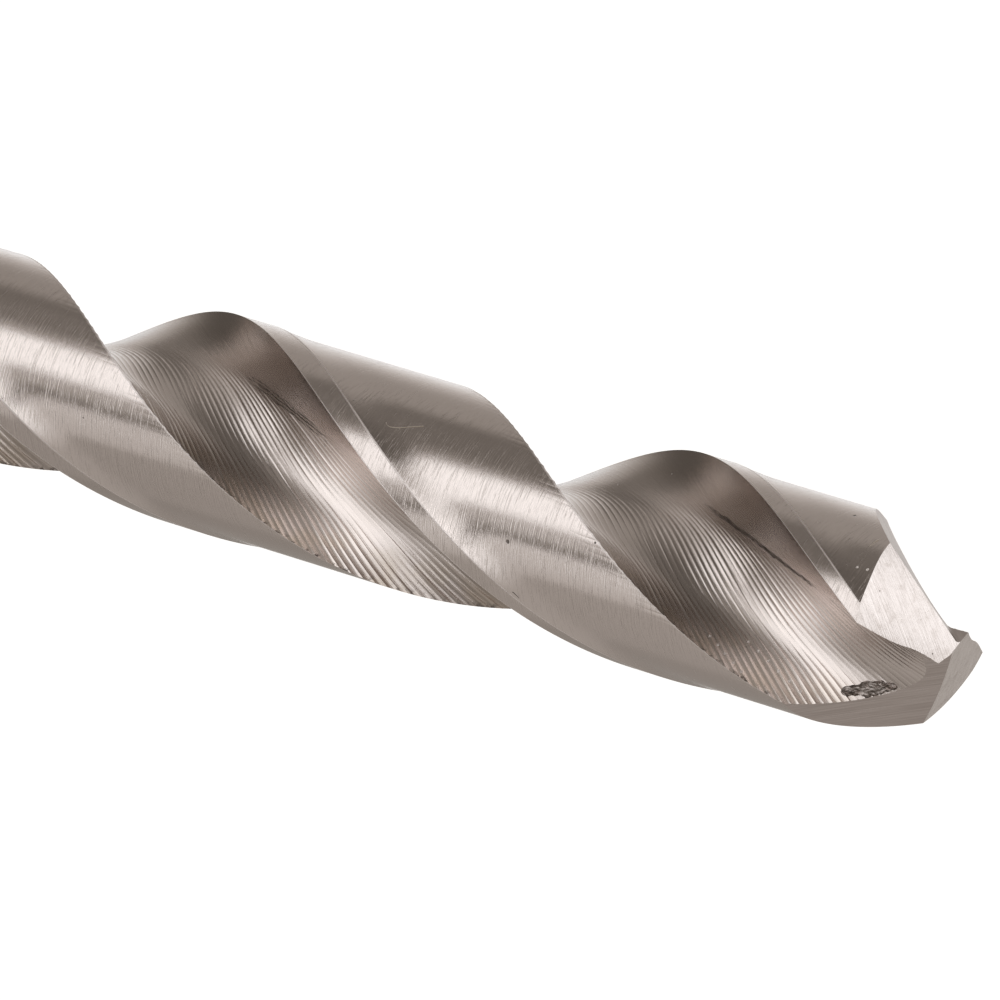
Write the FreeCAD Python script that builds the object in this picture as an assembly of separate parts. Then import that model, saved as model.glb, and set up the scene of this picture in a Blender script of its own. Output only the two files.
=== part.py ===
import FreeCAD, Part
import math
import os

# Jobber twist drill: one bar of high-speed steel, two right-hand flutes, 135 degree split point.
# The drill stands on its shank end. Z is the drill axis, up toward the point. Millimetres.

# Overall sizes
drill_dia = 10.0
shank_dia = 9.95
overall_length = 133.0
flute_length = 87.0
shank_chamfer = 0.6

# Helix and point
helix_angle = 30.0
point_angle = 135.0
lip_relief_angle = 8.0
flank_radius = 13.2

# Cross-section of the fluted body at the point
web_thickness = 1.55
lip_crown = 0.1
web_growth_per_mm = 0.016
land_angle = 81.6
land_growth_per_mm = 0.23
flute_radius = 4.0

# Margin and body clearance
margin_angle = 8.5
margin_growth_per_mm = 0.16
clearance_depth = 0.18

# Run-out of the flutes toward the shank
wheel_radius = 26.0
clearance_runout = 4.0

# Split of the point: a flat floor and an upright wall, one pair for each lip
notch_floor_azimuth = 75.0
notch_floor_tilt = 55.0
notch_floor_offset = 1.27
inner_lip_azimuth = 50.0
chisel_half_width = 0.09
notch_corner_radius = 0.25

# Derived sizes
radius = drill_dia / 2
lead = math.pi * drill_dia / math.tan(math.radians(helix_angle))
cot_point = 1 / math.tan(math.radians(point_angle / 2))
half_web = web_thickness / 2
lip_reach = math.sqrt(radius ** 2 - half_web ** 2)
corner_angle = math.asin(half_web / radius)
relief = math.radians(lip_relief_angle)
sin_point = math.sin(math.radians(point_angle / 2))
cos_point = math.cos(math.radians(point_angle / 2))


def flank_drop(behind):
    # Height lost, square to the lip, at a distance behind the lip.
    offset = behind + flank_radius * math.sin(relief)
    return flank_radius * math.cos(relief) - math.sqrt(flank_radius ** 2 - offset ** 2)


point_height = lip_reach * cot_point - flank_drop(half_web) / sin_point
corner_z = overall_length - point_height
flute_end_z = overall_length - flute_length
outside = 1.3 * radius

# The grinding wheel leaves the flute along its own radius, and is clear of the bar at the flute end.
web_at_end = half_web + web_growth_per_mm * (corner_z - flute_end_z) / 2
lift_at_end = radius - web_at_end + 0.3
runout_length = math.sqrt(wheel_radius ** 2 - (wheel_radius - lift_at_end) ** 2)
runout_start = flute_end_z + runout_length
clearance_end = flute_end_z + runout_length / 2


def polar(r, angle, z):
    return FreeCAD.Vector(r * math.cos(angle), r * math.sin(angle), z)


def spline(points):
    # Every section uses the same parameters, so that the sections loft cleanly.
    steps = [i / (len(points) - 1) for i in range(len(points))]
    curve = Part.BSplineCurve()
    curve.interpolate(Points=points, Parameters=steps)
    return curve.toShape()


def section_heights(low, high):
    count = max(8, math.ceil((high - low) / lead * 30))
    return [low + (high - low) * i / count for i in range(count + 1)]


def sweep(section, low, high):
    # A section that turns with the helix while it grows along the axis.
    wires = []
    for z in section_heights(low, high):
        wire = section(z)
        wire.rotate(FreeCAD.Vector(0, 0, 0), FreeCAD.Vector(0, 0, 1), 360 * (z - corner_z) / lead)
        wires.append(wire)
    return Part.makeLoft(wires, True)


# Flutes: the rake side sweeps out a nearly straight lip, the heel side is an arc tangent to the web.
def flute_section(z):
    depth = corner_z - z
    web = half_web + web_growth_per_mm * depth / 2
    heel = math.pi + corner_angle - math.radians(land_angle + land_growth_per_mm * depth)
    shift = corner_angle - math.asin(web / radius)
    points = []
    for share in (1.35, 0.9, 0.5, 0.2):
        r = web + share * (radius - web)
        reach = math.sqrt(r ** 2 - web ** 2)
        lag = 2 * math.pi / lead * (lip_reach - reach) * cot_point
        ahead = web + lip_crown * math.sin(math.pi * share)
        points.append(polar(r, math.asin(ahead / r) + shift - lag, z))
    # Centre of the heel arc, at one radius from the heel and touching the web circle.
    centre_r = flute_radius + web
    heel_r = radius - clearance_depth
    cosine = (centre_r ** 2 + heel_r ** 2 - flute_radius ** 2) / (2 * centre_r * heel_r)
    centre = polar(centre_r, heel - math.acos(cosine), z)
    bottom = math.atan2(-centre.y, -centre.x) % (2 * math.pi)
    tip = polar(heel_r, heel, z) - centre
    edge = math.atan2(tip.y, tip.x) % (2 * math.pi)
    for share in (0.25, 0.6, 1.0, 1.3):
        points.append(centre + polar(flute_radius, bottom + (edge - bottom) * share, 0))
    middle = points[0] + points[-1]
    opening = math.atan2(middle.y, middle.x)
    wire = Part.Wire([spline(points), spline([points[-1], polar(1.8 * radius, opening, z), points[0]])])
    rise = max(0.0, runout_start - z)
    lift = wheel_radius - math.sqrt(wheel_radius ** 2 - rise ** 2)
    wire.translate(polar(lift, opening, 0))
    return wire


# Body clearance: behind its narrow margin each land is ground down to a smaller cylinder.
def clearance_section(z):
    depth = corner_z - z
    margin = corner_angle - math.radians(margin_angle + margin_growth_per_mm * depth)
    heel = corner_angle - math.radians(land_angle + land_growth_per_mm * depth)
    inner = []
    outer = []
    for share in (0.0, 0.4, 0.8, 1.2):
        angle = margin + (heel - margin) * share
        inner.append(polar(radius * 0.85, angle, z))
        outer.insert(0, polar(outside, angle, z))
    back = spline([inner[-1], outer[0]])
    step = spline([outer[-1], inner[0]])
    return Part.Wire([spline(inner), back, spline(outer), step])


def turned(outline):
    # A solid of revolution about the drill axis from (radius, height) pairs.
    points = [FreeCAD.Vector(r, 0, z) for r, z in outline]
    face = Part.Face(Part.makePolygon(points + points[:1]))
    return face.revolve(FreeCAD.Vector(0, 0, 0), FreeCAD.Vector(0, 0, 1), 360)


def opposite(shape):
    other = shape.copy()
    other.rotate(FreeCAD.Vector(0, 0, 0), FreeCAD.Vector(0, 0, 1), 180)
    return other


def cut_pair(shape, tool):
    # One cut for each side of the drill: the second is the first turned half a turn.
    return shape.cut(tool).cut(opposite(tool)).Solids[0]


# The fluted body tapers back from the full diameter at the lip corners to the shank's diameter.
shank_r = shank_dia / 2
taper = (radius - shank_r) / (corner_z - flute_end_z)
shank = turned([
    (0, 0),
    (shank_r - shank_chamfer, 0),
    (shank_r, shank_chamfer),
    (shank_r, flute_end_z),
    (0, flute_end_z),
])
blank = shank.fuse(Part.makeCone(shank_r, radius + taper * point_height, flute_length,
                                 FreeCAD.Vector(0, 0, flute_end_z)))

# What the clearance leaves standing, with a cone up to the full body where the grinding runs out.
core = turned([
    (0, 0),
    (radius + clearance_depth, 0),
    (radius + clearance_depth, clearance_end - clearance_runout),
    (radius - clearance_depth, clearance_end + clearance_runout),
    (radius - clearance_depth, overall_length + 2),
    (0, overall_length + 2),
])
flute = sweep(flute_section, flute_end_z, overall_length + 1)
clearance = sweep(clearance_section, clearance_end - clearance_runout, overall_length + 1).cut(core)
body = cut_pair(cut_pair(blank, flute), clearance)

# Flanks: each lip is backed by a surface that curves down behind it, ground along the lip.
lip_corner = FreeCAD.Vector(lip_reach, half_web, corner_z)
along_lip = FreeCAD.Vector(-sin_point, 0, cos_point)
flank_normal = FreeCAD.Vector(cos_point, 0, sin_point)


def flank_point(behind, height):
    return lip_corner + FreeCAD.Vector(0, -behind, 0) + flank_normal * height


front = flank_point(-outside, -flank_drop(-outside))
back = flank_point(outside, -flank_drop(outside))
ground = Part.Arc(front, flank_point(0, 0), back).toShape()
above = Part.makePolygon([back, flank_point(outside, drill_dia), flank_point(-outside, drill_dia), front])
flank_face = Part.Face(Part.Wire([ground] + above.Edges))
flank_face.translate(along_lip * -radius)
flank = flank_face.extrude(along_lip * (radius * 3.5))
body = cut_pair(body, flank)

# Split point: a notch gives each lip an inner edge and takes the heel off the land across the flute.
azimuth = math.radians(notch_floor_azimuth)
tilt = math.radians(notch_floor_tilt)
floor_normal = FreeCAD.Vector(math.sin(tilt) * math.cos(azimuth), math.sin(tilt) * math.sin(azimuth), math.cos(tilt))
wall_normal = polar(1, math.radians(inner_lip_azimuth + 90), 0)
valley = wall_normal.cross(floor_normal).normalize()
up_wall = wall_normal.cross(valley).normalize()
if up_wall.z < 0:
    up_wall = up_wall * -1
up_floor = floor_normal.cross(valley).normalize()
if up_floor.dot(wall_normal) < 0:
    up_floor = up_floor * -1
# A point of the valley line: on the wall plane and on the floor plane, found in the upright plane of the wall.
root_point = wall_normal * chisel_half_width
root_point.z = corner_z + (notch_floor_offset - root_point.dot(floor_normal)) / floor_normal.z
root_end = root_point - valley * drill_dia
wall_top = root_end + up_wall * drill_dia
floor_far = root_end + up_floor * 2 * drill_dia
notch_face = Part.Face(Part.makePolygon([root_end, wall_top, floor_far, root_end]))
notch = notch_face.extrude(valley * 2 * drill_dia)
root = [e for e in notch.Edges if e.distToShape(Part.Vertex(root_point))[0] < 1e-6]
notch = notch.makeFillet(notch_corner_radius, root)
body = cut_pair(body, notch)

os.makedirs("parts", exist_ok=True)
body.exportStep("parts/twist_drill.step")
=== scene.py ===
import bpy, math
import numpy as np
from mathutils import Matrix, Vector
from mathutils.noise import fractal


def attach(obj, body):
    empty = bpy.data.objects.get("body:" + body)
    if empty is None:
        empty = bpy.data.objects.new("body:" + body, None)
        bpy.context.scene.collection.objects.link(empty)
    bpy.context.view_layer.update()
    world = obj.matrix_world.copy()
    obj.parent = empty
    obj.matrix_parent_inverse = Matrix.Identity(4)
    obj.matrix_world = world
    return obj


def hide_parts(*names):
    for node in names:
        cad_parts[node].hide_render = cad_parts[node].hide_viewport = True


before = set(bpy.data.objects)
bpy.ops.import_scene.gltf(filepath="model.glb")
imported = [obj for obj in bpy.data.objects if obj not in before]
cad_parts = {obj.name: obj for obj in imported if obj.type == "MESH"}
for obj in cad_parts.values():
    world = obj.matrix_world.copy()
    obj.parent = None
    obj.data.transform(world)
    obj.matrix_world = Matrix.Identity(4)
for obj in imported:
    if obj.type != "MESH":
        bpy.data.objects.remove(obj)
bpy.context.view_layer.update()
bpy.ops.object.select_all(action="DESELECT")

# Drill body: one bar of high-speed steel. A shaped wheel grinds the two flutes out of it along a helix
# and leaves a mark at each step of its feed. Behind its margin each land is ground a little lower.
# Sizes are in millimetres, heights are above the flat end of the shank. The lip corners lie at corner_z.
radius, shank_radius, shank_chamfer = 5.0, 4.975, 0.6
flute_end, corner_z, top_z = 46.0, 131.0975, 134.2
lead =math.pi * 2 * radius / math.tan(math.radians(30))
relief, flank_radius = math.radians(8), 13.2
half_web, web_growth, lip_crown = 0.775, 0.008, 0.1
land_angle, land_growth = 81.6, 0.23
margin_angle, margin_growth, margin_rise_angle = 8.5, 0.16, 19.0
clearance_depth, flute_radius, wheel_radius = 0.18, 4.0, 26.0
mark_pitch, mark_height = 0.51, 0.018
flute_width, mark_spread = 8.6, 30.0
flute_steps, rise_steps, land_steps, margin_steps = 28, 7, 10, 4

cot_point = 1 / math.tan(math.radians(67.5))
lip_reach = math.sqrt(radius ** 2 - half_web ** 2)
corner_angle = math.asin(half_web / radius)
clearance_radius = radius - clearance_depth
sin_point, cos_point = math.sin(math.radians(67.5)), math.cos(math.radians(67.5))
web_at_end = half_web + web_growth * (corner_z - flute_end)
runout = math.sqrt(wheel_radius ** 2 - (wheel_radius - (radius - web_at_end + 0.3)) ** 2)


def smooth_curve(points, count):
    # A cubic curve through evenly spaced points, with end slopes from the nearest four of them.
    n = len(points)
    t = np.arange(n, dtype=float)
    near = np.polyfit(t[:4], points[:4], 3)
    far = np.polyfit(t[-4:], points[-4:], 3)
    rows = np.eye(n) * 4 + np.eye(n, k=1) + np.eye(n, k=-1)
    rows[0] = rows[-1] = 0
    rows[0, 0] = rows[-1, -1] = 1
    right = np.zeros_like(points)
    right[1:-1] = 3 * (points[2:] - points[:-2])
    right[0] = near[2]
    right[-1] = 3 * far[0] * t[-1] ** 2 + 2 * far[1] * t[-1] + far[2]
    slope = np.linalg.solve(rows, right)
    at = np.linspace(0, n - 1, count)
    i = np.minimum(at.astype(int), n - 2)
    u = (at - i)[:, None]
    return ((2 * u ** 3 - 3 * u ** 2 + 1) * points[i] + (u ** 3 - 2 * u ** 2 + u) * slope[i]
            + (3 * u ** 2 - 2 * u ** 3) * points[i + 1] + (u ** 3 - u ** 2) * slope[i + 1])


def flute_curve(z):
    # The flute's section at one height, from outside the lip round the web to outside the heel.
    depth = corner_z - z
    web = half_web + web_growth * depth
    heel = math.pi + corner_angle - math.radians(land_angle + land_growth * depth)
    shift = corner_angle - math.asin(web / radius)
    points = []
    for share in (1.35, 0.9, 0.5, 0.2):
        r = web + share * (radius - web)
        lag = 2 * math.pi / lead * (lip_reach - math.sqrt(r * r - web * web)) * cot_point
        angle = math.asin((web + lip_crown * math.sin(math.pi * share)) / r) + shift - lag
        points.append((r * math.cos(angle), r * math.sin(angle)))
    away = flute_radius + web
    cosine = (away ** 2 + clearance_radius ** 2 - flute_radius ** 2) / (2 * away * clearance_radius)
    turn = heel - math.acos(cosine)
    cx, cy = away * math.cos(turn), away * math.sin(turn)
    bottom = math.atan2(-cy, -cx) % (2 * math.pi)
    edge_y = clearance_radius * math.sin(heel) - cy
    edge_x = clearance_radius * math.cos(heel) - cx
    edge = math.atan2(edge_y, edge_x) % (2 * math.pi)
    for share in (0.25, 0.6, 1.0, 1.3):
        angle = bottom + (edge - bottom) * share
        points.append((cx + flute_radius * math.cos(angle), cy + flute_radius * math.sin(angle)))
    points = np.array(points)
    middle = points[0] + points[-1]
    opening = math.atan2(middle[1], middle[0])
    rise = max(0.0, flute_end + runout - z)
    lift = wheel_radius - math.sqrt(wheel_radius ** 2 - rise ** 2)
    return smooth_curve(points, 600) + lift * np.array((math.cos(opening), math.sin(opening)))


def body_radius(z):
    # The back taper, from the full diameter at the lip corners to the shank's.
    return shank_radius + (radius - shank_radius) * (z - flute_end) / (corner_z - flute_end)


def land_radius(z):
    # The ground-down land: a cylinder that runs out along a cone near the shank.
    share = min(1, max(0, (z - flute_end - runout / 2 + 4) / 8))
    return min(body_radius(z), radius + clearance_depth - 2 * clearance_depth * share)


def polar(r, angle):
    return np.stack((r * np.cos(angle), r * np.sin(angle)), 1)


def half_ring(z):
    # Half of the outline at one height, flute, land and margin, and which way each flute point faces.
    curve = flute_curve(z)
    far = np.hypot(*curve.T)
    outer, lower = body_radius(z), land_radius(z)
    deep = int(far.argmin())
    if far[deep] >= lower:
        start = finish = math.atan2(*curve[deep][::-1])
        flute = polar(np.full(flute_steps, lower), np.full(flute_steps, start))
        facing = np.zeros_like(flute)
    else:
        a = deep - int(np.argmax(far[deep::-1] >= outer))
        b = deep + int(np.argmax(far[deep:] >= lower))
        first = a + (outer - far[a]) / (far[a + 1] - far[a])
        last = b - 1 + (lower - far[b - 1]) / (far[b] - far[b - 1])
        at = first + (last - first) * np.linspace(0, 1, flute_steps + 1)
        i = np.minimum(at.astype(int), len(curve) - 2)
        f = (at - i)[:, None]
        flute = curve[i] * (1 - f) + curve[i + 1] * f
        along = np.gradient(flute, axis=0)
        facing = np.stack((-along[:, 1], along[:, 0]), 1) / np.hypot(*along.T)[:, None]
        start, finish = math.atan2(*flute[0][::-1]), math.atan2(*flute[-1][::-1])
        flute, facing = flute[:-1], facing[:-1]
        facing *= np.sign((facing[flute_steps // 2] * flute[flute_steps // 2]).sum())
    step = math.pi + corner_angle - math.radians(margin_angle + margin_growth * (corner_z - z))
    foot = step - math.radians(margin_rise_angle) * min(1, (step - finish) / math.radians(60))
    land = finish + (foot - finish) * np.linspace(0, 1, land_steps + 1)[:-1]
    climb = np.linspace(0, 1, rise_steps + 1)[:-1]
    rise = foot + (step - foot) * climb
    margin = step + (math.pi + start - step) * np.linspace(0, 1, margin_steps + 1)[:-1]
    ring = np.concatenate((flute, polar(lower, land), polar(lower + (outer - lower) * climb ** 2, rise),
                           polar(outer, margin)))
    return ring, np.concatenate((facing, np.zeros((len(ring) - flute_steps, 2))))


first_bite = flute_end
while np.hypot(*flute_curve(first_bite).T).min() >= land_radius(first_bite):
    first_bite += 0.02
levels = np.concatenate(([flute_end], first_bite + np.array((0, 0.02, 0.08, 0.2, 0.4, 0.7)),
                         np.arange(first_bite + 1, top_z + 0.25, 0.25)))
rings = [half_ring(z) for z in levels]
outline = np.array([ring for ring, _ in rings])
facing = np.array([way for _, way in rings])
half = outline.shape[1]

# Each row of the mesh follows one wheel mark, which crosses the flute on a slant. It lies nearly along the
# flute beside the lip, and the rows return level where the flutes begin.
reach = np.linspace(0, flute_width, 200)
lean = 0.44 + 0.2 / (1 + np.exp(-(reach - 5.4) / 0.5))
climb = np.concatenate(([0], np.cumsum(np.diff(reach) / lean[1:])))
across = flute_width * np.arange(flute_steps + 1) / flute_steps
slant = np.interp(across, reach, climb)
rest = half - flute_steps
slant = np.concatenate((slant[:-1], slant[-1] * np.maximum(0, 1 - np.arange(rest) / (rest - margin_steps))))
first_mark = first_bite + 0.6
mark_rows = (first_mark + mark_pitch * (np.arange(190)[:, None] + (0, 0.17, 0.5, 0.83))).ravel()
rows = np.concatenate(([flute_end, first_bite], first_bite + np.array((0.02, 0.08, 0.2, 0.4)),
                       mark_rows[mark_rows < top_z - 0.01], [top_z]))
heights = np.repeat(rows[:, None], half, axis=1)
# The slant depends on the height that it leads to, so it is found by repeating.
for attempt in range(60):
    heights = rows[:, None] + slant * np.clip((heights - first_bite) / mark_spread, 0, 1)
heights = np.minimum(heights, top_z)

side = np.empty(heights.shape + (2,))
for j in range(half):
    for k in range(2):
        side[:, j, k] = np.interp(heights[:, j], levels, outline[:, j, k])

# A sharp crest stands at each mark. The crests start past the flute's bottom, are strongest at the heel,
# whose edge they make uneven, and differ a little from one to the next.
shares = np.arange(flute_steps + 1) / flute_steps * flute_width
strength = np.clip((shares - 2.6) / 1.0, 0.06, 1) + 0.9 * np.clip((shares - 6) / 2.6, 0, 1) ** 2
chance = np.random.default_rng(7)
marks = (rows - first_mark) / mark_pitch
numbers = np.round(marks).astype(int)
uneven = chance.uniform(0.5, 1.4, 400)[numbers + 20]
profile = np.interp(np.abs(marks - numbers), (0, 0.17, 0.5), (1, 0.3, 0))
crest = mark_height * (profile * uneven)[:, None] * strength * (heights[:, :flute_steps + 1] < top_z)
for j in range(flute_steps + 1):
    for k in range(2):
        way = facing[:, min(j, flute_steps - 1), k]
        side[:, j, k] += crest[:, j] * np.interp(heights[:, j], levels, way)

spots = np.concatenate((side, -side), axis=1)
heights = np.concatenate((heights, heights), axis=1)
angle = 2 * math.pi * (heights - corner_z) / lead
spots = np.stack((spots[..., 0] * np.cos(angle) - spots[..., 1] * np.sin(angle),
                  spots[..., 0] * np.sin(angle) + spots[..., 1] * np.cos(angle), heights), 2)
shank_rows = []
for z, r in ((0, shank_radius - shank_chamfer), (shank_chamfer, shank_radius), (16, shank_radius),
             (32, shank_radius)):
    row = spots[0].copy()
    row[:, :2] *= r / np.hypot(row[:, 0], row[:, 1])[:, None]
    row[:, 2] = z
    shank_rows.append(row)
spots = np.concatenate((shank_rows, spots))
spots = np.concatenate((spots, spots[:, :1]), axis=1)

bpy.ops.mesh.primitive_grid_add(x_subdivisions=spots.shape[1] - 1, y_subdivisions=spots.shape[0] - 1, size=1)
body = bpy.context.object
body.name = "drill_body"
body.data.vertices.foreach_set("co", (spots * 0.001).ravel())

# The wheel's own map on the steel: the number of the mark, and the distance across the flute from the lip.
mark = np.concatenate((np.zeros(len(shank_rows)), marks))[:, None] * np.ones(spots.shape[1])
distance = np.concatenate((shares, np.full(rest - 1, 20.0)))
distance = np.concatenate((distance, distance, distance[:1])) * np.ones((spots.shape[0], 1))
loops = np.empty(len(body.data.loops), dtype=np.int32)
body.data.loops.foreach_get("vertex_index", loops)
wheel_map = body.data.uv_layers.active
wheel_map.name = "wheel_marks"
wheel_map.data.foreach_set("uv", np.stack((mark.ravel(), distance.ravel()), 1)[loops].ravel())

# Which points lie on the margins' edges, where a highlight is painted onto the steel.
edge = np.zeros(spots.shape)[..., 0]
for j in (0, flute_steps, half - margin_steps):
    edge[len(shank_rows) + 6:, [j, j + half]] = 1
edge[:, -1] = edge[:, 0]
step_line = np.zeros(edge.shape)
step_line[len(shank_rows) + 6:, [half - margin_steps, 2 * half - margin_steps]] = 1
crest_line = np.zeros(edge.shape)
crest_line[len(shank_rows):][np.abs(marks - np.round(marks)) < 0.01, :] = distance[0] < 15
crest_line[:, distance[0] < 2.9] = 0
for name, values in (("rim_highlight_mark", edge), ("margin_step", step_line), ("crest", crest_line)):
    body.data.attributes.new(name, "FLOAT", "POINT").data.foreach_set("value", values.ravel())

steel = {}
for name in ("flute_steel", "land_steel", "flank_steel", "notch_steel"):
    steel[name] = bpy.data.materials.new(name)
    body.data.materials.append(steel[name])
kind = np.ones(spots.shape[1] - 1, dtype=np.int32)
kind[:flute_steps] = kind[half:half + flute_steps] = 0
kinds = np.tile(kind, spots.shape[0] - 1)
kinds[:len(kind) * len(shank_rows)] = 1
body.data.polygons.foreach_set("material_index", kinds)

bpy.ops.object.mode_set(mode="EDIT")
bpy.ops.mesh.select_all(action="SELECT")
bpy.ops.mesh.remove_doubles(threshold=1e-7)
for height in (0, top_z):
    bpy.ops.mesh.select_all(action="DESELECT")
    bpy.ops.object.mode_set(mode="OBJECT")
    for v in body.data.vertices:
        v.select = abs(v.co.z - height * 0.001) < 1e-7
    bpy.ops.object.mode_set(mode="EDIT")
    bpy.ops.mesh.edge_face_add()
bpy.ops.mesh.select_all(action="SELECT")
bpy.ops.mesh.normals_make_consistent(inside=False)
bpy.ops.object.mode_set(mode="OBJECT")

# Point: each lip is backed by a flank ground on a wheel, and a notch with a flat floor and an upright
# wall thins the web. The four grinds are cut with solids that fill what the wheels took away.
lip_corner = Vector((lip_reach, half_web, corner_z))
along_lip = Vector((-sin_point, 0, cos_point))
flank_normal = Vector((cos_point, 0, sin_point))
behind = Vector((0, -1, 0))


def cut(target, tool):
    boolean = target.modifiers.new("grind", "BOOLEAN")
    boolean.operation = "DIFFERENCE"
    boolean.solver = "EXACT"
    boolean.object = tool
    bpy.ops.object.select_all(action="DESELECT")
    bpy.context.view_layer.objects.active = target
    target.select_set(True)
    bpy.ops.object.modifier_apply(modifier=boolean.name)


def place(tool, at):
    # Stands a primitive on the lip's three directions, at a point in millimetres.
    turn = Matrix((behind, flank_normal, behind.cross(flank_normal))).transposed().to_4x4()
    tool.matrix_world = Matrix.Translation(at * 0.001) @ turn


bpy.ops.mesh.primitive_cylinder_add(vertices=360, radius=flank_radius * 0.001, depth=0.04)
wheel = bpy.context.object
axle = lip_corner - behind * flank_radius * math.sin(relief) - flank_normal * flank_radius * math.cos(relief)
place(wheel, axle)
bpy.ops.mesh.primitive_cube_add(size=0.018)
flank = bpy.context.object
place(flank, lip_corner + along_lip * 3.75 + flank_normal)
bpy.context.view_layer.update()
cut(flank, wheel)

tilt, azimuth, inner_lip = math.radians(55), math.radians(75), math.radians(50)
chisel_half_width, notch_offset, notch_corner = 0.09, 1.27, 0.25
toward_notch = Vector((math.cos(azimuth), math.sin(azimuth), 0))
floor_normal = toward_notch * math.sin(tilt) + Vector((0, 0, math.cos(tilt)))
wall_normal = Vector((-math.sin(inner_lip), math.cos(inner_lip), 0))
valley = wall_normal.cross(floor_normal).normalized()
up_wall = wall_normal.cross(valley).normalized()
if up_wall.z < 0:
    up_wall = -up_wall
up_floor = floor_normal.cross(valley).normalized()
if up_floor.dot(wall_normal) < 0:
    up_floor = -up_floor
root = wall_normal * chisel_half_width
root.z = corner_z + (notch_offset - root.dot(floor_normal)) / floor_normal.z
bpy.ops.mesh.primitive_cylinder_add(vertices=3, radius=0.01, depth=0.04)
notch = bpy.context.object
for v in notch.data.vertices:
    end = valley * (20 if v.co.z > 0 else -20)
    if v.co.y > 0.006:
        v.co = (root + end) * 0.001
    elif v.co.x > 0:
        v.co = (root + end + up_wall * 10) * 0.001
    else:
        v.co = (root + end + up_floor * 20) * 0.001
bpy.ops.object.mode_set(mode="EDIT")
bpy.ops.mesh.select_all(action="SELECT")
bpy.ops.mesh.normals_make_consistent(inside=False)
bpy.ops.mesh.select_all(action="DESELECT")
bpy.ops.object.mode_set(mode="OBJECT")
for e in notch.data.edges:
    a, b = (notch.data.vertices[i].co * 1000 for i in e.vertices)
    e.select = ((a + b) / 2 - root).length < 0.01
bpy.ops.object.mode_set(mode="EDIT")
bpy.ops.mesh.select_mode(type="EDGE")
corner_width = notch_corner / math.tan(up_wall.angle(up_floor) / 2)
bpy.ops.mesh.bevel(offset=corner_width * 0.001, segments=8, profile=0.5)
bpy.ops.mesh.select_mode(type="VERT")
bpy.ops.object.mode_set(mode="OBJECT")

for tool, index in ((flank, 2), (notch, 3)):
    tool.data.materials.clear()
    for name in steel:
        tool.data.materials.append(steel[name])
    tool.data.polygons.foreach_set("material_index", np.full(len(tool.data.polygons), index, dtype=np.int32))
    cut(body, tool)
    tool.matrix_world = Matrix.Rotation(math.pi, 4, "Z") @ tool.matrix_world
    bpy.context.view_layer.update()
    cut(body, tool)
for tool in (wheel, flank, notch):
    bpy.data.objects.remove(tool)
bpy.ops.object.select_all(action="DESELECT")
bpy.context.view_layer.objects.active = body
body.select_set(True)
bpy.ops.object.shade_smooth_by_angle(angle=math.radians(25))
for name in ("margin_step", "crest"):
    marked = [v.value > 0.99 for v in body.data.attributes[name].data]
    for e in body.data.edges:
        if marked[e.vertices[0]] and marked[e.vertices[1]]:
            e.use_edge_sharp = True
    body.data.attributes.remove(body.data.attributes[name])
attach(body, "root")
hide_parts("twist_drill")


# Flute finish: bright steel as the wheel left it, with fine lines beside each mark. Along the bottom of
# the flutes the steel is torn in two places, two rows of small bright nicks lie near the heel, and a thin
# brown film has dried in both flutes, most towards the heel. Towards the lip a painted shade darkens the
# steel.
def node(tree, kind, inputs={}, **settings):
    new = tree.nodes.new("ShaderNode" + kind)
    for name, value in settings.items():
        setattr(new, name, value)
    for name, value in inputs.items():
        if isinstance(value, bpy.types.NodeSocket):
            tree.links.new(value, new.inputs[name])
        else:
            new.inputs[name].default_value = value
    return new


def maths(tree, operation, *values):
    return node(tree, "Math", dict(enumerate(values)), operation=operation).outputs[0]


def remap(tree, value, low, high, first=0.0, last=1.0):
    inputs = {"Value": value, "From Min": low, "From Max": high, "To Min": first, "To Max": last}
    return node(tree, "MapRange", inputs, interpolation_type="SMOOTHSTEP").outputs[0]


def new_group(name, inputs, outputs):
    group = bpy.data.node_groups.new(name, "ShaderNodeTree")
    for socket, kind in inputs:
        group.interface.new_socket(socket, in_out="INPUT", socket_type=kind)
    for socket, kind in outputs:
        group.interface.new_socket(socket, in_out="OUTPUT", socket_type=kind)
    return group, group.nodes.new("NodeGroupInput").outputs, group.nodes.new("NodeGroupOutput").inputs


def use(tree, group, **inputs):
    inputs = {name.replace("_", " "): value for name, value in inputs.items()}
    return node(tree, "Group", inputs, node_tree=group).outputs


def combine(tree, x, y, z):
    return node(tree, "CombineXYZ", {0: x, 1: y, 2: z}).outputs[0]


def noise(tree, vector, scale, detail=3.0, rough=0.6):
    inputs = {"Vector": vector, "Scale": scale, "Detail": detail, "Roughness": rough}
    return node(tree, "TexNoise", inputs).outputs["Fac"]


# Lines left by grit: the noise is stretched by whoever gives the coordinates, so the lines run along X.
grit, given, result = new_group("grit_lines", [("Vector", "NodeSocketVector"), ("Length", "NodeSocketFloat"),
                                ("Width", "NodeSocketFloat")],
                                [("Height", "NodeSocketFloat"), ("Scratch", "NodeSocketFloat")])
parts = node(grit, "SeparateXYZ", {0: given["Vector"]}).outputs
long_way = maths(grit, "DIVIDE", parts[0], given["Length"])
deep_way = maths(grit, "DIVIDE", parts[2], given["Length"])
fine = combine(grit, long_way, maths(grit, "DIVIDE", parts[1], given["Width"]), deep_way)
grit.links.new(noise(grit, fine, 1.0, 4.0, 0.65), result["Height"])
coarse = combine(grit, maths(grit, "MULTIPLY", long_way, 1.6),
                 maths(grit, "DIVIDE", parts[1], given["Width"]), maths(grit, "ADD", deep_way, 7.3))
grit.links.new(remap(grit, noise(grit, coarse, 0.6, 2.0, 0.5), 0.57, 0.70), result["Scratch"])

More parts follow.
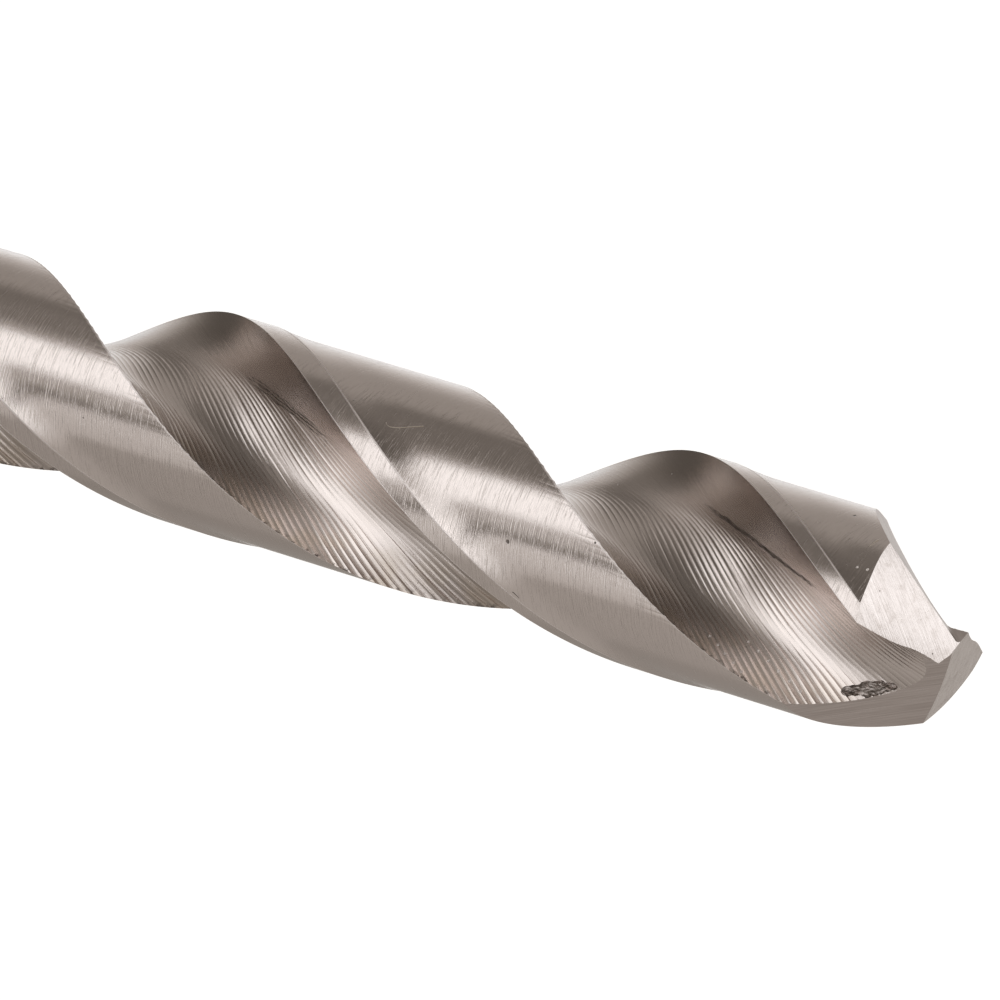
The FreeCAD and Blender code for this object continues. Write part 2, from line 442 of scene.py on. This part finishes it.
# Small pits and caught dust: cells of a pattern, of which only a few hold a speck.
specks, given, result = new_group("specks", [("Vector", "NodeSocketVector"), ("Spacing", "NodeSocketFloat"),
                                  ("Size", "NodeSocketFloat")], [("Pit", "NodeSocketFloat")])
per_cell = maths(specks, "DIVIDE", 1.0, given["Spacing"])
scaled = node(specks, "VectorMath", {0: given["Vector"], "Scale": per_cell}, operation="SCALE").outputs[0]
cells = node(specks, "TexVoronoi", {"Vector": scaled, "Scale": 1.0}).outputs
chosen = maths(specks, "GREATER_THAN", node(specks, "SeparateColor", {0: cells["Color"]}).outputs[0], 0.72)
share = maths(specks, "DIVIDE", given["Size"], given["Spacing"])
near = remap(specks, maths(specks, "DIVIDE", cells["Distance"], share), 1.0, 0.5)
specks.links.new(maths(specks, "MULTIPLY", near, chosen), result["Pit"])


def begin(material):
    material.use_nodes = True
    tree = material.node_tree
    shader = tree.nodes["Principled BSDF"]
    shader.inputs["Metallic"].default_value = 1.0
    where = node(tree, "TexCoord").outputs["Object"]
    millimetres = node(tree, "VectorMath", {0: where, "Scale": 1000.0}, operation="SCALE").outputs[0]
    return tree, shader, millimetres


def mix(tree, factor, first, second):
    new = node(tree, "Mix", {0: factor}, data_type="RGBA")
    for socket, value in ((new.inputs[6], first), (new.inputs[7], second)):
        if isinstance(value, bpy.types.NodeSocket):
            tree.links.new(value, socket)
        else:
            socket.default_value = (*value, 1)
    return new.outputs[2]


def bump(tree, shader, height, depth):
    # Depth is in micrometres.
    new = node(tree, "Bump", {"Height": height, "Distance": depth * 1e-6})
    tree.links.new(new.outputs[0], shader.inputs["Normal"])


# The third steel tone is a painted highlight, for the rims of the margins.
bright_steel, dull_steel, highlight_steel = (0.72, 0.655, 0.625), (0.60, 0.54, 0.51), (0.90, 0.84, 0.82)
grime, film = (0.10, 0.08, 0.07), (0.58, 0.49, 0.39)

tree, shader, spot = begin(steel["flute_steel"])
flat = node(tree, "SeparateXYZ", {0: node(tree, "UVMap", uv_map="wheel_marks").outputs[0]}).outputs
height = node(tree, "SeparateXYZ", {0: spot}).outputs[2]
across_flute = combine(tree, flat[1], maths(tree, "MULTIPLY", flat[0], 0.3), 0.0)
lines = use(tree, grit, Vector=across_flute, Length=2.5, Width=0.07)
pits = use(tree, specks, Vector=spot, Spacing=0.9, Size=0.045)["Pit"]
wander = maths(tree, "ADD", noise(tree, spot, 1.6), maths(tree, "MULTIPLY", noise(tree, spot, 14.0), 0.7))
strokes = noise(tree, combine(tree, flat[1], maths(tree, "MULTIPLY", flat[0], 0.6), 0.0), 7.0, 3.0, 0.6)
tears = None
for first, last, line, slope, reach, gap in ((116.4, 128.2, 1.74, 0.15, 0.3, 0.9),
                                             (90.0, 100.2, 2.3, 0.122, 0.6, 0.24)):
    middle = maths(tree, "MULTIPLY_ADD", maths(tree, "SUBTRACT", height, first), slope, line)
    off = maths(tree, "SUBTRACT", flat[1], middle)
    off = maths(tree, "ABSOLUTE", maths(tree, "ADD", off, maths(tree, "MULTIPLY_ADD", wander, 0.4, -0.34)))
    beginning, ending = remap(tree, height, first, first + 4), remap(tree, height, last, last - 3)
    waves = maths(tree, "COSINE", maths(tree, "MULTIPLY", off, 2 * math.pi / gap))
    strip = maths(tree, "MULTIPLY", remap(tree, off, reach, reach * 0.2), remap(tree, waves, -0.7, 0.6, 0.55))
    strip = maths(tree, "MULTIPLY", strip, maths(tree, "MULTIPLY", beginning, ending))
    tears = strip if tears is None else maths(tree, "MAXIMUM", tears, strip)
torn = remap(tree, maths(tree, "MULTIPLY_ADD", strokes, 2.6, maths(tree, "SUBTRACT", tears, 1.3)), 0.72, 0.95)
nicks = None
for first, length, line, slope, spacing in ((123.55, 3.6, 6.72, 0.338, 0.62), (122.3, 2.1, 7.6, 0.33, 0.51)):
    along = maths(tree, "SUBTRACT", height, first)
    middle = maths(tree, "MULTIPLY_ADD", along, slope, line)
    beside = maths(tree, "ABSOLUTE", maths(tree, "SUBTRACT", flat[1], middle))
    beat = maths(tree, "MULTIPLY", maths(tree, "PINGPONG", along, spacing / 2), 1.3)
    row = remap(tree, maths(tree, "ADD", beside, beat), 0.13, 0.05)
    inside = maths(tree, "MULTIPLY", remap(tree, along, -0.2, 0.0), remap(tree, along, length + 0.1, length))
    row = maths(tree, "MULTIPLY", row, inside)
    nicks = row if nicks is None else maths(tree, "MAXIMUM", nicks, row)
dirt = maths(tree, "MAXIMUM", torn, maths(tree, "MULTIPLY", pits, 0.7))
colour = mix(tree, lines["Height"], bright_steel, dull_steel)
toward_heel = maths(tree, "ADD", remap(tree, flat[1], 6.2, 8.4), 0.1)
stain = maths(tree, "MULTIPLY", toward_heel, remap(tree, noise(tree, spot, 0.5), 0.4, 0.65))
colour = mix(tree, maths(tree, "MULTIPLY", stain, 0.4), colour, film)
# Painted shade: towards the lip the flute's steel is darkened to a warm brown.
painted_lip_shade = remap(tree, flat[1], 2.4, 0.9)
colour = mix(tree, maths(tree, "MULTIPLY", painted_lip_shade, 0.6), colour, (0.40, 0.345, 0.31))
patches = remap(tree, noise(tree, spot, 3.0, 4.0), 0.5, 0.62)
ragged = maths(tree, "MULTIPLY", remap(tree, flat[1], 8.3, 8.6), patches)
dirt = maths(tree, "MAXIMUM", dirt, maths(tree, "MULTIPLY", ragged, 0.8))
colour = mix(tree, nicks, mix(tree, dirt, colour, grime), (1.0, 0.96, 0.94))
tree.links.new(colour, shader.inputs["Base Color"])
rough = maths(tree, "MULTIPLY_ADD", lines["Height"], 0.14, 0.10)
rough = maths(tree, "MAXIMUM", rough, maths(tree, "MULTIPLY", nicks, 0.8))
tree.links.new(maths(tree, "MAXIMUM", rough, maths(tree, "MULTIPLY", dirt, 0.6)), shader.inputs["Roughness"])
bump(tree, shader, maths(tree, "SUBTRACT", lines["Height"], maths(tree, "MULTIPLY", pits, 2.0)), 8.0)

# Land and margin finish: ground on centres, so the grit lines run round the drill, with stray scratches,
# a few pits, and three bright specks near the point. The rims of the margins carry a painted highlight.
tree, shader, spot = begin(steel["land_steel"])
parts = node(tree, "SeparateXYZ", {0: spot}).outputs
round_way = combine(tree, parts[0], parts[2], parts[1])
lines = use(tree, grit, Vector=round_way, Length=2.2, Width=0.07)
askew = node(tree, "Mapping", {"Vector": round_way, "Rotation": (0.0, 0.0, 0.12)}).outputs[0]
stray = use(tree, grit, Vector=askew, Length=0.8, Width=0.035)
pits = use(tree, specks, Vector=spot, Spacing=1.6, Size=0.06)["Pit"]
for x, y, z, size in ((4.47, 1.80, 111.77, 0.11), (2.78, -3.94, 127.48, 0.09), (4.44, 1.88, 104.6, 0.07)):
    away = node(tree, "VectorMath", {0: spot, 1: (x, y, z)}, operation="DISTANCE").outputs["Value"]
    pits = maths(tree, "MAXIMUM", pits, remap(tree, away, size, size * 0.6))
shiny = None
for x, y, z in ((4.57, -1.53, 129.30), (4.55, -1.58, 129.82), (4.54, -1.62, 130.34)):
    away = node(tree, "VectorMath", {0: spot, 1: (x, y, z)}, operation="DISTANCE").outputs["Value"]
    speck = remap(tree, away, 0.09, 0.05)
    shiny = speck if shiny is None else maths(tree, "MAXIMUM", shiny, speck)
# Painted highlight: the margins' rims are given a brighter, rougher steel.
painted_highlight = remap(tree, node(tree, "Attribute", attribute_name="rim_highlight_mark").outputs["Fac"], 0.74, 0.94)
colour = mix(tree, maths(tree, "MULTIPLY", lines["Height"], 0.3), bright_steel, dull_steel)
colour = mix(tree, painted_highlight, colour, highlight_steel)
colour = mix(tree, shiny, colour, (1.0, 0.96, 0.94))
tree.links.new(mix(tree, maths(tree, "MULTIPLY", pits, 0.8), colour, grime), shader.inputs["Base Color"])
rough = maths(tree, "MULTIPLY_ADD", lines["Height"], 0.10, 0.08)
rough = maths(tree, "MULTIPLY_ADD", shiny, 0.7, rough)
rough = maths(tree, "MULTIPLY_ADD", stray["Scratch"], 0.14, rough)
tree.links.new(maths(tree, "MULTIPLY_ADD", painted_highlight, 0.4, rough), shader.inputs["Roughness"])
depth = maths(tree, "SUBTRACT", lines["Height"], maths(tree, "MULTIPLY", stray["Scratch"], 0.3))
bump(tree, shader, maths(tree, "SUBTRACT", depth, maths(tree, "MULTIPLY", pits, 3.0)), 7.0)

# Flank finish: the fine lines of the point grinding run back from each lip on a slant, and a little heat
# stain clouds the steel. The second flank is the first turned half a turn.
def half_turned(tree, spot, side, ways):
    # The place along three directions of the first side, also for a point on the second.
    here = node(tree, "VectorMath", {0: spot, 1: tuple(side)}, operation="DOT_PRODUCT").outputs["Value"]
    turned = combine(tree, *[maths(tree, "SIGN", here)] * 2, 1.0)
    own = node(tree, "VectorMath", {0: spot, 1: turned}, operation="MULTIPLY").outputs[0]
    return [node(tree, "VectorMath", {0: own, 1: tuple(way)}, operation="DOT_PRODUCT").outputs["Value"]
            for way in ways]


tree, shader, spot = begin(steel["flank_steel"])
run_back = (along_lip - behind).normalized()
beside_it = (along_lip + behind).normalized()
ways = half_turned(tree, spot, Vector((1, 0, 0)), (run_back, beside_it, flank_normal))
lines = use(tree, grit, Vector=combine(tree, *ways), Length=1.6, Width=0.06)
pits = use(tree, specks, Vector=spot, Spacing=0.6, Size=0.05)["Pit"]
cloud = remap(tree, noise(tree, spot, 1.6, 4.0, 0.7), 0.45, 0.75)
colour = mix(tree, lines["Height"], (0.95, 0.89, 0.87), (0.58, 0.52, 0.49))
colour = mix(tree, maths(tree, "MULTIPLY", cloud, 0.4), colour, (0.40, 0.34, 0.30))
tree.links.new(mix(tree, maths(tree, "MULTIPLY", pits, 0.8), colour, grime), shader.inputs["Base Color"])
tree.links.new(maths(tree, "MULTIPLY_ADD", lines["Height"], 0.14, 0.18), shader.inputs["Roughness"])
bump(tree, shader, maths(tree, "SUBTRACT", lines["Height"], maths(tree, "MULTIPLY", pits, 3.0)), 8.0)

# Notch finish: the same steel, ground last and left coarser than the flanks. Its lines run along the corner
# between floor and wall.
tree, shader, spot = begin(steel["notch_steel"])
ways = half_turned(tree, spot, toward_notch, (valley, up_floor, floor_normal))
lines = use(tree, grit, Vector=combine(tree, *ways), Length=3.5, Width=0.09)
colour = mix(tree, remap(tree, lines["Height"], 0.35, 0.65), (0.66, 0.595, 0.57), (0.54, 0.48, 0.455))
tree.links.new(colour, shader.inputs["Base Color"])
tree.links.new(maths(tree, "MULTIPLY_ADD", lines["Height"], 0.15, 0.22), shader.inputs["Roughness"])
bump(tree, shader, lines["Height"], 12.0)

# Burr: a crumpled flake of steel, rolled over by the notch grinding, hangs on the flute's edge near the
# point. It is thin and dark, and its folds run along it.
bpy.ops.mesh.primitive_uv_sphere_add(segments=48, ring_count=40, radius=1)
burr = bpy.context.object
burr.name = "point_burr"
first, last = Vector((-0.16, 3.16, 128.03)), Vector((-0.84, 2.14, 130.22))
length = last - first
outward = Vector((0.86, 0.0, 0.28)).normalized()
across = outward.cross(length).normalized()
if across.y < 0:
    across = -across
for v in burr.data.vertices:
    share = v.co.z * 0.5 + 0.5
    width = 0.42 * (0.75 + 0.35 * fractal(Vector((share * 5, 0.4, 0)), 1, 2, 3))
    fold = fractal(Vector((share * 7, v.co.x * 1.6, v.co.y * 1.2)), 0.8, 2.2, 5)
    spot = first + length * share + across * (0.1 + v.co.x * width) + outward * (0.04 + v.co.y * 0.07)
    v.co = (spot + outward * fold * 0.10 + across * fold * 0.05) * 0.001
# The flake's three directions are a mirrored set, so its faces are turned round.
bpy.ops.object.mode_set(mode="EDIT")
bpy.ops.mesh.select_all(action="SELECT")
bpy.ops.mesh.flip_normals()
bpy.ops.object.mode_set(mode="OBJECT")
bpy.ops.object.shade_smooth_by_angle(angle=math.radians(40))
burr_steel = bpy.data.materials.new("burr_steel")
tree, shader, spot = begin(burr_steel)
streaks = noise(tree, node(tree, "Mapping", {"Vector": spot, "Scale": (9, 9, 2.5)}).outputs[0], 1.0, 4.0, 0.7)
colour = mix(tree, remap(tree, streaks, 0.42, 0.66), (0.16, 0.135, 0.12), dull_steel)
tree.links.new(colour, shader.inputs["Base Color"])
shader.inputs["Roughness"].default_value = 0.38
burr.data.materials.append(burr_steel)
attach(burr, "root")

# Dust: fibres of lint lie on the steel, a pale one by the point, one half way up a land, and two dark curls
# on the edge of a flute. Each is one thread through five places, given by bearing in degrees and height.
land_reach, margin_reach = 4.835, 4.95
lint = []
for name, tone in (("pale_lint", (0.78, 0.70, 0.60)), ("dark_lint", (0.07, 0.06, 0.055))):
    thread = bpy.data.materials.new(name)
    tree, shader, spot = begin(thread)
    shader.inputs["Metallic"].default_value = 0.0
    shader.inputs["Roughness"].default_value = 0.7
    shade = tuple(c * 0.8 for c in tone)
    tree.links.new(mix(tree, noise(tree, spot, 8.0), tone, shade), shader.inputs["Base Color"])
    lint.append(thread)
for name, thread, thickness, away, path in (
        ("fibre_by_point", lint[0], 0.035, land_reach,
         ((-12, 130.1), (-16, 129.75), (-28, 129.5), (-35, 129.6), (-40, 129.75))),
        ("fibre_on_land", lint[0], 0.03, land_reach,
         ((-20.5, 103.2), (-17, 103.45), (-19, 103.9), (-22.5, 104.5), (-25, 105.1))),
        ("curl_on_edge", lint[1], 0.03, margin_reach,
         ((49, 112.1), (51, 112.45), (53.5, 112.6), (56, 112.5), (57, 112.25))),
        ("curl_beside_it", lint[1], 0.025, margin_reach,
         ((56, 112.9), (57.5, 113.1), (58, 112.95), (57, 112.75), (58.5, 112.6)))):
    bpy.ops.object.select_all(action="DESELECT")
    bpy.ops.curve.primitive_nurbs_path_add(radius=0.001)
    fibre = bpy.context.object
    fibre.name = name
    for point, (bearing, z) in zip(fibre.data.splines[0].points, path):
        turn = math.radians(bearing)
        point.co = (away * math.cos(turn) * 0.001, away * math.sin(turn) * 0.001, z * 0.001, 1)
    fibre.data.bevel_depth = thickness * 0.0005
    fibre.data.bevel_resolution = 1
    fibre.data.use_fill_caps = True
    fibre.data.materials.append(thread)
    bpy.ops.object.convert(target="MESH")
    bpy.ops.object.shade_smooth()
    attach(fibre, "root")

# Floor: a plain white table under the drill. It glows for the camera alone, so that it looks as white as
# the backdrop and still shows the drill's shadow.
bpy.ops.mesh.primitive_plane_add(size=6)
floor = bpy.context.object
floor.name = "floor"
white = bpy.data.materials.new("white_table")
white.use_nodes = True
tree = white.node_tree
paint = tree.nodes["Principled BSDF"]
paint.inputs["Base Color"].default_value = (0.8, 0.8, 0.8, 1)
paint.inputs["Roughness"].default_value = 0.9
glow = node(tree, "Emission", {"Strength": 0.72})
lit = node(tree, "AddShader", {0: paint.outputs[0], 1: glow.outputs[0]})
seen = node(tree, "LightPath").outputs["Is Camera Ray"]
shown = node(tree, "MixShader", {0: seen, 1: paint.outputs[0], 2: lit.outputs[0]})
tree.links.new(shown.outputs[0], tree.nodes["Material Output"].inputs[0])
floor.data.materials.append(white)
floor.visible_glossy = False

# Studio: soft boxes, pale cards and dark gaps stand round the drill, and the steel mirrors them. Each one
# is given by its bearing and height, half its width and height, tilt and blur, all in degrees, and its
# brightness. A later one stands in front of the ones before it.
card, given, result = new_group("card", [(name, "NodeSocketFloat") for name in (
    "Bearing", "Height", "Behind", "Across", "Up", "Half width", "Half height", "Lean", "Blur", "Level")],
    [("Light", "NodeSocketFloat")])
sideways = maths(card, "WRAP", maths(card, "SUBTRACT", given["Bearing"], given["Across"]), 180.0, -180.0)
upward = maths(card, "SUBTRACT", given["Height"], given["Up"])
cosine, sine = (maths(card, way, given["Lean"]) for way in ("COSINE", "SINE"))
x = maths(card, "ADD", maths(card, "MULTIPLY", sideways, cosine), maths(card, "MULTIPLY", upward, sine))
y = maths(card, "SUBTRACT", maths(card, "MULTIPLY", upward, cosine), maths(card, "MULTIPLY", sideways, sine))
cover = []
for value, extent in ((x, "Half width"), (y, "Half height")):
    inset = maths(card, "SUBTRACT", given[extent], maths(card, "ABSOLUTE", value))
    cover.append(remap(card, maths(card, "DIVIDE", inset, given["Blur"]), -0.5, 0.5))
over = maths(card, "SUBTRACT", given["Level"], given["Behind"])
covered = maths(card, "MULTIPLY", *cover)
card.links.new(maths(card, "MULTIPLY_ADD", covered, over, given["Behind"]), result["Light"])

world = bpy.data.worlds.new("studio")
bpy.context.scene.world = world
world.use_nodes = True
tree = world.node_tree
tree.nodes.clear()
way = node(tree, "SeparateXYZ", {0: node(tree, "TexCoord").outputs["Generated"]}).outputs
bearing = maths(tree, "DEGREES", maths(tree, "ARCTAN2", way[1], way[0]))
height = maths(tree, "DEGREES", maths(tree, "ARCSINE", way[2]))
light = 0.36
for across, up, half_width, half_height, lean, blur, level in (
        # The large soft box behind the drill, and the dark under it.
        (-158, -40, 26, 18, 0, 55, 1.1),
        (0, -90, 180, 24, 0, 20, 0.13),
        # Grey walls on the far side.
        (150, -35, 27, 12, 0, 8, 0.3),
        (90, -22, 50, 14, 12, 20, 0.45),
        (95, -51, 60, 9, 0, 10, 0.18),
        # Black flags on the near side, and a pale card low between them.
        (-78, -15, 58, 10, -13, 12, 0.12),
        (-85, -53, 26, 9, 0, 14, 0.15),
        (-28, -50, 38, 8, -15, 14, 0.62),
        # The strip light that makes the streak in the flutes, and the two cards above its end.
        (12, -16, 48, 9.5, -26, 15, 1.6),
        (-10, 15, 14, 9, 0, 6, 1.1),
        (25, 12, 13, 10, 0, 9, 0.22),
        # The box overhead, for the point.
        (-120, 55, 25, 18, 0, 15, 1.4),
        # What the lands mirror: dark, bright, a dark gap, and grey.
        (-55, -37, 20, 8, 0, 9, 0.17),
        (-7, -37, 17, 9, 0, 9, 1.4),
        (30, -37, 5.5, 11, 0, 5, 0.2),
        (52, -37, 15, 8, 0, 7, 0.6)):
    size = {"Half_width": half_width, "Half_height": half_height}
    light = use(tree, card, Bearing=bearing, Height=height, Behind=light, Across=across, Up=up, **size,
                Lean=math.radians(lean), Blur=blur, Level=level)["Light"]
warmth = mix(tree, light, (1.12, 1.0, 0.88), (1.0, 1.0, 1.0))
tint = node(tree, "VectorMath", {0: warmth, "Scale": light}, operation="SCALE").outputs[0]
studio = node(tree, "Background", {"Color": tint})
backdrop = node(tree, "Background", {"Color": (1, 1, 1, 1)})
seen = node(tree, "LightPath").outputs["Is Camera Ray"]
shown = node(tree, "MixShader", {0: seen, 1: studio.outputs[0], 2: backdrop.outputs[0]})
tree.links.new(shown.outputs[0], node(tree, "OutputWorld").inputs[0])

# Camera: it looks down on the upper half of the drill with a long lens, from the photograph's bearing and
# height, and is turned on its own axis until the drill lies across the picture.
bearing, height, roll, distance = math.radians(6.79), math.radians(36.14), math.radians(106.95), 0.5175
aim = Vector((0, -0.0004, 0.10728))
away = Vector((math.cos(height) * math.cos(bearing), math.cos(height) * math.sin(bearing), math.sin(height)))
camera = bpy.data.objects.new("camera", bpy.data.cameras.new("camera"))
bpy.context.scene.collection.objects.link(camera)
camera.data.lens = 417.4
camera.data.sensor_width = 36
turn = away.to_track_quat("Z", "Y").to_matrix().to_4x4() @ Matrix.Rotation(roll, 4, "Z")
camera.matrix_world = Matrix.Translation(aim + away * distance) @ turn
camera.data.clip_start = 0.01
bpy.context.scene.camera = camera
bpy.context.scene.view_settings.view_transform = "Standard"
